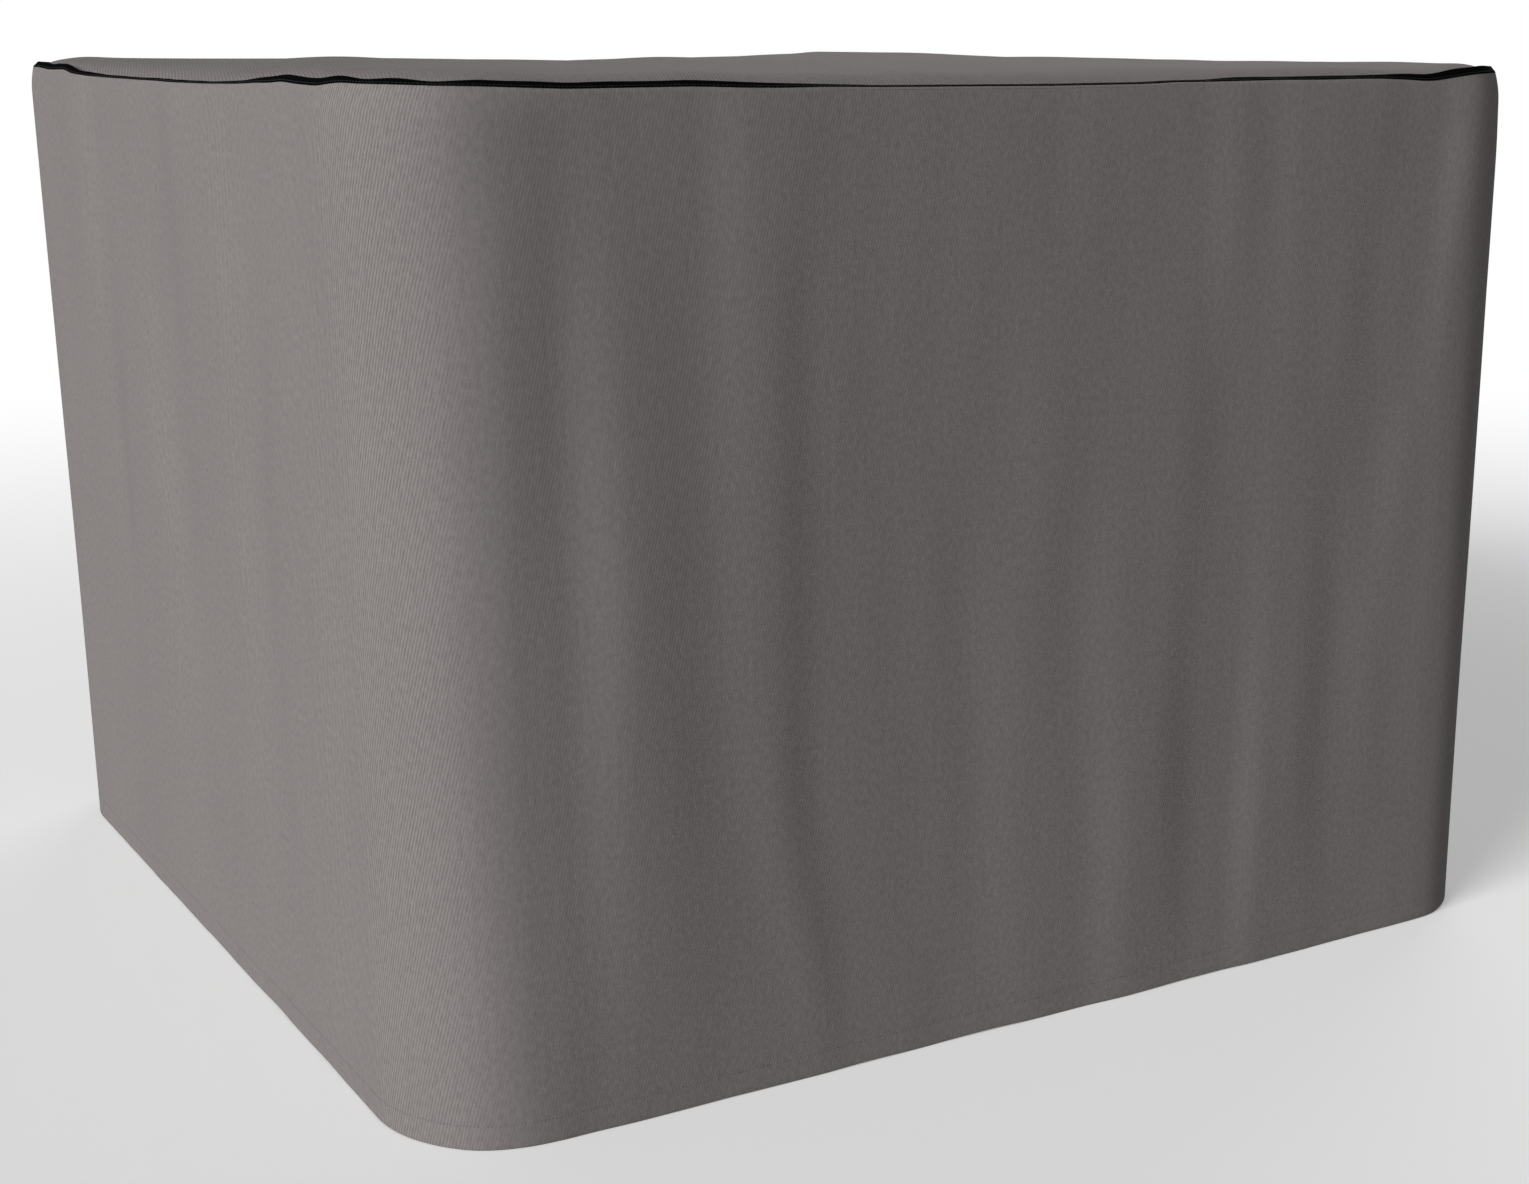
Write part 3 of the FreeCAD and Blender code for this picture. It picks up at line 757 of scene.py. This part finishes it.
def top_panel(materials):
    """The top panel: a square net whose outer rings follow the plan and stand up in the binding."""
    inner_half = WALL - SHOULDER_INSET - RIM_STEPS[-1]
    rings = round(inner_half / TOP_CELL)
    insides = [WALL - SHOULDER_INSET - inner_half * k / rings for k in range(rings + 1)]
    insides += RIM_STEPS[-2::-1]
    insides += list(-FLANGE * FLANGE_STEPS)
    insides = np.array(insides)
    last = len(insides) - 1
    column, row = np.meshgrid(np.arange(-last, last + 1), np.arange(-last, last + 1))
    ring = np.maximum(np.abs(column), np.abs(row))
    safe = np.maximum(ring, 1)
    side = np.select([row == -ring, column == ring, row == ring], [0, 1, 2], 3)
    share = np.choose(side, [column, row, -column, -row]) / safe
    s = (side + share / 2) * QUARTER
    inside = insides[ring]
    stack = 2 * CLOTH + GAP
    lean = round_lookup(SEAM_LEAN, s)
    inset = np.clip(SHOULDER_INSET + np.clip(inside, 0, None), 0, WALL)
    radius = np.maximum(CORNER_RADIUS - inset, RING_RADIUS)
    half = np.maximum(WALL - inset, 0.0001)
    radius = np.minimum(radius, half)
    quarter = 2 * (half - radius) + radius * math.pi / 2
    own, _ = ring_point(side, share * quarter / 2, half, radius)
    plan, normal = outline(s)
    follow = plan - normal * inset[..., None]
    blend = smooth_step(inset, *PLAN_BLEND)[..., None]
    point = follow * (1 - blend) + own * blend
    near_seam = np.exp(-np.clip(inside, 0, None) / SHIFT_REACH)
    shift = (fold(s, SEAM_Z) + SHOULDER_INSET - seam_inset(s) - stack * np.cos(lean)) * near_seam
    point = point + normal * shift[..., None]
    z = top_height(point[..., 0], point[..., 1], s, np.clip(inside, 0, None))
    points = upright(point, z)
    flange = inside < -1e-9
    points[flange] = seam_point(s, -inside, stack)[flange]
    flat = point + normal * np.clip(-inside, 0, None)[..., None]
    piece = grid_object("top_panel_cloth", points, flat)
    thicken(piece, CLOTH, *materials)
    place(piece, "cover_fabric", "top_panel")


# ---------------------------------------------------------------- binding, tapes and label

def binding(material):
    """Black tape folded over the top seam's standing layers, right round the cover."""
    columns = 2 * COLUMNS
    s = np.arange(columns) * PERIMETER / columns
    outer = -GAP - TAPE
    inner = 2 * CLOTH + 2 * GAP + TAPE
    middle, reach = (outer + inner) / 2, (inner - outer) / 2
    section = [(BINDING_FOOT, outer), (0.0025, outer - 0.0001), (0.005, outer), (0.0075, outer)]
    turn = np.linspace(-math.pi / 2, math.pi / 2, 9)
    section += [(BINDING_TOP - reach + reach * math.cos(a), middle + reach * math.sin(a)) for a in turn]
    section += [(0.0075, inner), (0.005, inner), (0.0025, inner + 0.0001), (BINDING_FOOT, inner)]
    round_turn = FULL_TURN * s / PERIMETER
    wobble = BINDING_WOBBLE * np.cos(61 * round_turn + 3 * np.sin(9 * round_turn))
    rows = []
    for up, across in section:
        height = up * (1 + BINDING_SWELL * np.cos(17 * round_turn)) + wobble * (up / BINDING_TOP)
        rows.append(seam_point(s, height, across))
    widths = np.cumsum([0] + [math.dist(a, b) for a, b in zip(section, section[1:])])
    flat_s, flat_v = np.meshgrid(np.arange(columns + 1) * PERIMETER / columns, widths)
    piece = grid_object("top_binding_tape", np.array(rows), np.stack([flat_s, flat_v], -1), closed=True)
    thicken(piece, TAPE, material)
    place(piece, "binding_tape", "top_binding")


SIDE_TAPE_REACH = 0.012  # half of the width of the tape inside a side seam
SIDE_TAPE_DEPTH = 2.6 * CLOTH + TAPE  # from the skirt's right side in to the tape's face
TAPE_EDGE_DROP = 0.00015  # the tape's edges lie this much nearer to the skirt
TOP_TAPE_DEPTH = 2.2 * CLOTH + TAPE
TOP_TAPE_TRIM = 0.002  # the CAD's tape reaches this much further up
LABEL_CLOTH = 0.0003  # thickness
LABEL_STANDOFF = 0.0006  # from three layers of cloth to the label's sewn edge
LABEL_CURL = 0.004  # how much further off its free end hangs
LABEL_RIPPLE = 0.0009


def side_seam_tape(name, node, middle, material):
    """The tape over a side seam, inside."""
    low, high = seam_tape_low.z, seam_tape_high.z
    s = middle + np.linspace(-SIDE_TAPE_REACH, SIDE_TAPE_REACH, 7)
    z = np.linspace(low, high, 90)
    s, z = np.meshgrid(s, z)
    edge = TAPE_EDGE_DROP * (np.abs(s - middle) / SIDE_TAPE_REACH) ** 4
    points = wall_point(s, z, SIDE_TAPE_DEPTH - edge)
    piece = grid_object(name, points, np.stack([s, z], -1), flip=True)
    thicken(piece, TAPE, material)
    place(piece, "seam_tape", node)


def top_seam_tape(material):
    """The tape round the inside of the shoulder, just below the top seam."""
    s = np.arange(COLUMNS) * PERIMETER / COLUMNS
    v = np.linspace(top_tape_low.z, top_tape_high.z - TOP_TAPE_TRIM, 7)
    s_grid, v_grid = np.meshgrid(s, v)
    points = skirt_point(s_grid, v_grid, -TOP_TAPE_DEPTH)
    flat_s, flat_v = np.meshgrid(np.arange(COLUMNS + 1) * PERIMETER / COLUMNS, v)
    piece = grid_object(
        "top_seam_tape_strip", points, np.stack([flat_s, flat_v], -1), closed=True, flip=True
    )
    thicken(piece, TAPE, material)
    place(piece, "seam_tape", "top_seam_tape")


def care_label(material):
    """A blank label, sewn inside the back near the hem. Its free end curls away from the skirt."""
    width, drop = label_high.x - label_low.x, label_high.z - label_low.z
    across = np.linspace(0, width, 15)
    down = np.linspace(0, drop, 21)
    x, z = np.meshgrid(label_low.x + across, label_high.z - down)
    s = 2 * QUARTER - x
    hang = (label_high.z - z) / drop
    ripple = LABEL_RIPPLE * np.sin(math.pi * (x - label_low.x) / width)
    curl = LABEL_CURL * hang ** 2 + ripple * hang
    points = wall_point(s, z, 3 * CLOTH + LABEL_STANDOFF + curl)
    piece = grid_object("care_label_cloth", points, np.stack([x, z], -1))
    thicken(piece, LABEL_CLOTH, material)
    place(piece, "label_cloth", "care_label")


# ---------------------------------------------------------------- stitching

STITCH_PITCH = 0.004
STITCH_SHARE = 0.82  # a stitch's length, as a share of the pitch
STITCH_RADIUS = 0.00034
STITCH_TAPER = 0.93  # 1 would bring a stitch's ends to points
STITCH_LIFT = 0.55  # how far its middle is above the cloth, in radii
STITCH_DIVE = 0.9  # and how much lower its ends are
STITCH_NUDGE = 0.0005  # how far to the side the surface is tried for its normal
STITCH_RINGS = 6
STITCH_SIDES = 6
SEAM_ROW_SHIFTS = (-0.005, 0.005)  # the two rows down a side seam, from its middle
BINDING_ROW_UP = 0.0026  # the row through the binding, up from the seam's line


def stitches(name, centres, along, out, material, slot, nodes):
    """Separate stitches at points: each is a short thread that dives into the cloth at both ends."""
    stations = np.linspace(-1, 1, STITCH_RINGS)
    angles = np.arange(STITCH_SIDES) * FULL_TURN / STITCH_SIDES
    side = np.cross(out, along)
    length = STITCH_PITCH * STITCH_SHARE
    rings = []
    for u in stations:
        radius = STITCH_RADIUS * math.sqrt(1 - (STITCH_TAPER * u) ** 2)
        lift = STITCH_RADIUS * (STITCH_LIFT - STITCH_DIVE * u * u)
        for angle in angles:
            rings.append(
                centres + along * (u * length / 2)
                + out * (lift + radius * math.sin(angle)) + side * (radius * math.cos(angle))
            )
    points = np.stack(rings, 1)
    count, per = points.shape[:2]
    faces, places = [], []
    for i in range(len(stations) - 1):
        low, high = i * STITCH_SIDES, (i + 1) * STITCH_SIDES
        for j in range(STITCH_SIDES):
            k = (j + 1) % STITCH_SIDES
            faces.append([low + j, high + j, high + k, low + k])
            places.append([(i, j), (i + 1, j), (i + 1, j + 1), (i, j + 1)])
    ends = {0: [(0, 1, 2, 3), (3, 4, 5, 0)], STITCH_RINGS - 1: [(5, 4, 3, 2), (2, 1, 0, 5)]}
    for ring, corners in ends.items():
        for corner in corners:
            faces.append([ring * STITCH_SIDES + c for c in corner])
            places.append([(ring, c) for c in corner])
    faces = np.array(faces)[None] + (np.arange(count) * per)[:, None, None]
    step = np.array([length / (STITCH_RINGS - 1), FULL_TURN * STITCH_RADIUS / STITCH_SIDES])
    shifts = (np.arange(count) * STITCH_PITCH)[:, None, None, None]
    places = np.array(places, float)[None] * step + shifts
    piece = mesh_object(name, points.reshape(-1, 3), faces.reshape(-1, 4), places.reshape(-1, 2))
    piece.data.materials.append(material)
    place(piece, slot, *nodes)


def unit(vectors):
    """Vectors scaled to a length of one."""
    return vectors / np.linalg.norm(vectors, axis=-1, keepdims=True)


def row_of_stitches(surface, count):
    """Places, directions and outward normals for a row of stitches on surface(share, side shift)."""
    share = (np.arange(count) + 0.5) / count
    centres = surface(share, 0.0)
    along = unit(surface(share + 0.2 / count, 0.0) - surface(share - 0.2 / count, 0.0))
    across = unit(surface(share, STITCH_NUDGE) - surface(share, -STITCH_NUDGE))
    return centres, along, unit(np.cross(along, across))


def hem_stitching(material):
    """The row that holds the turned-up hem."""
    def surface(share, shift):
        return skirt_point(share * PERIMETER, np.full(share.shape, HEM_STITCH_Z + shift), 0.0)
    rows = row_of_stitches(surface, round(PERIMETER / STITCH_PITCH))
    stitches("hem_stitches", *rows, material, "sewing_thread", ["hem_thread"])


def binding_stitching(material):
    """The row through the binding, near its lower edge."""
    def surface(share, shift):
        return seam_point(share * PERIMETER, BINDING_ROW_UP + shift, -GAP - TAPE - GAP)
    rows = row_of_stitches(surface, round(PERIMETER / STITCH_PITCH))
    stitches("binding_stitches", *rows, material, "binding_thread", ["top_binding_thread"])


def seam_stitching(name, node, middle, material):
    """The two rows down a side seam."""
    low, high = seam_thread_low.z, seam_thread_high.z
    count = round((high - low) / STITCH_PITCH)
    parts = []
    for shift in SEAM_ROW_SHIFTS:
        def surface(share, across):
            z = low + (high - low) * share
            return skirt_point(np.full(share.shape, middle + shift - across), z, LAP_STANDOFF)
        parts.append(row_of_stitches(surface, count))
    rows = [np.concatenate(pair) for pair in zip(*parts)]
    stitches(name, *rows, material, "sewing_thread", [node])


# ---------------------------------------------------------------- stage, light and camera

FLOOR_REACH = 120.0
FLOOR_NEAR = 1.3  # the floor is plain paint up to here, and as white as the surround beyond FLOOR_FAR
FLOOR_FAR = 5.0
FLOOR_DROP = 0.0005  # keeps the floor clear of the hem
FLOOR_PAINT = 0.86  # how pale the paint is
FLOOR_GLOW = 0.24  # and how much light it gives off itself
SURROUND_LIGHT = 0.17  # how much light the surround throws on the cover


def studio_floor():
    """A plain pale floor that brightens into the white surround, and is clear from below."""
    corners = np.array([(-1, -1), (1, -1), (1, 1), (-1, 1)]) * FLOOR_REACH
    points = np.column_stack([corners, np.zeros(4)])
    floor = mesh_object("studio_floor", points, np.array([[0, 1, 2, 3]]), corners)
    floor.location.z = -FLOOR_DROP
    floor.visible_diffuse = False
    floor.visible_glossy = False
    floor.visible_shadow = False
    pale = colour(FLOOR_PAINT, FLOOR_PAINT, FLOOR_PAINT)
    paint = Shader("studio_floor_paint", pale, 1.0, specular=0.0)
    paint.surface.inputs["Emission Color"].default_value = colour(1, 1, 1)
    paint.surface.inputs["Emission Strength"].default_value = FLOOR_GLOW
    distance = paint.add("ShaderNodeVectorMath", operation="LENGTH")
    paint.join(paint.cloth, distance.inputs[0])
    fade = paint.add("ShaderNodeMapRange", interpolation_type="SMOOTHSTEP")
    paint.join(distance.outputs["Value"], fade.inputs["Value"])
    fade.inputs["From Min"].default_value = FLOOR_NEAR
    fade.inputs["From Max"].default_value = FLOOR_FAR
    white = paint.add("ShaderNodeEmission")
    blend = paint.add("ShaderNodeMixShader")
    paint.join(fade.outputs["Result"], blend.inputs[0])
    paint.join(paint.surface.outputs[0], blend.inputs[1])
    paint.join(white.outputs[0], blend.inputs[2])
    side = paint.add("ShaderNodeNewGeometry")
    unseen = paint.add("ShaderNodeBsdfTransparent")
    one_sided = paint.add("ShaderNodeMixShader")
    paint.join(side.outputs["Backfacing"], one_sided.inputs[0])
    paint.join(blend.outputs[0], one_sided.inputs[1])
    paint.join(unseen.outputs[0], one_sided.inputs[2])
    paint.join(one_sided.outputs[0], paint.tree.nodes["Material Output"].inputs["Surface"])
    floor.data.materials.append(paint.material)


def sun(name, azimuth, elevation, strength, spread):
    """A broad soft light from an azimuth round from the front towards the left, in degrees."""
    lamp = bpy.data.lights.new(name, "SUN")
    lamp.energy = strength
    lamp.angle = math.radians(spread)
    light = bpy.data.objects.new(name, lamp)
    bpy.context.scene.collection.objects.link(light)
    light.rotation_euler = (math.radians(90 - elevation), 0, -math.radians(azimuth))


def studio_light():
    """A white surround that only the camera sees, weak light from everywhere, and soft key lights."""
    world = bpy.data.worlds.new("studio")
    world.use_nodes = True
    tree = world.node_tree
    backdrop = tree.nodes["Background"]
    backdrop.inputs["Color"].default_value = colour(1, 1, 1)
    rays = tree.nodes.new("ShaderNodeLightPath")
    level = tree.nodes.new("ShaderNodeMapRange")
    level.inputs["To Min"].default_value = SURROUND_LIGHT
    level.inputs["To Max"].default_value = 1.0
    tree.links.new(rays.outputs["Is Camera Ray"], level.inputs["Value"])
    tree.links.new(level.outputs["Result"], backdrop.inputs["Strength"])
    bpy.context.scene.world = world
    sun("key_light", 72.5, 20.7, 2.98, 30)
    sun("back_light", -135, 16, 1.05, 40)
    sun("floor_bounce", 0, -90, 0.55, 150)


CAMERA_PLACE = (-1.3867, -2.6359, 1.0366)
CAMERA_DIP = 15.19  # degrees down from level
CAMERA_TURN = 31.93  # and to the right of straight at the front
CAMERA_REACH = 400.0


def photograph_camera():
    """The camera at the photograph's viewing angle."""
    data = bpy.data.cameras.new("photograph_camera")
    data.sensor_width = 36
    data.lens = 54.83
    data.shift_x = -0.0873
    data.shift_y = 0.0549
    data.clip_end = CAMERA_REACH
    camera = bpy.data.objects.new("photograph_camera", data)
    camera.location = CAMERA_PLACE
    camera.rotation_euler = (math.radians(90 - CAMERA_DIP), 0, -math.radians(CAMERA_TURN))
    bpy.context.scene.collection.objects.link(camera)
    bpy.context.scene.camera = camera


# ---------------------------------------------------------------- the cover

def build():
    """Makes every piece of the cover."""
    twill, coating = cover_cloth(), coated_back()
    seam_thread = thread("sewing_thread_twist", "sewing_thread")
    black_thread = thread("binding_thread_twist", "binding_thread")
    sealing = sealing_tape()
    back_seam = SIDE_SEAM - PERIMETER / 2
    skirt_panel("skirt_cloth_front_left", "skirt_panel_front_left", back_seam, [twill, coating], 1)
    skirt_panel("skirt_cloth_back_right", "skirt_panel_back_right", SIDE_SEAM, [twill, coating], 0)
    top_panel([twill, coating])
    binding(binding_cloth())
    binding_stitching(black_thread)
    hem_stitching(seam_thread)
    for corner, middle in (("front_right", SIDE_SEAM), ("back_left", back_seam)):
        seam_stitching(f"seam_stitches_{corner}", f"side_seam_thread_{corner}", middle, seam_thread)
        side_seam_tape(f"seam_tape_{corner}", f"side_seam_tape_{corner}", middle, sealing)
    top_seam_tape(sealing)
    care_label(label_weave())


build()
studio_floor()
studio_light()
photograph_camera()
bpy.context.scene.view_settings.view_transform = "Standard"
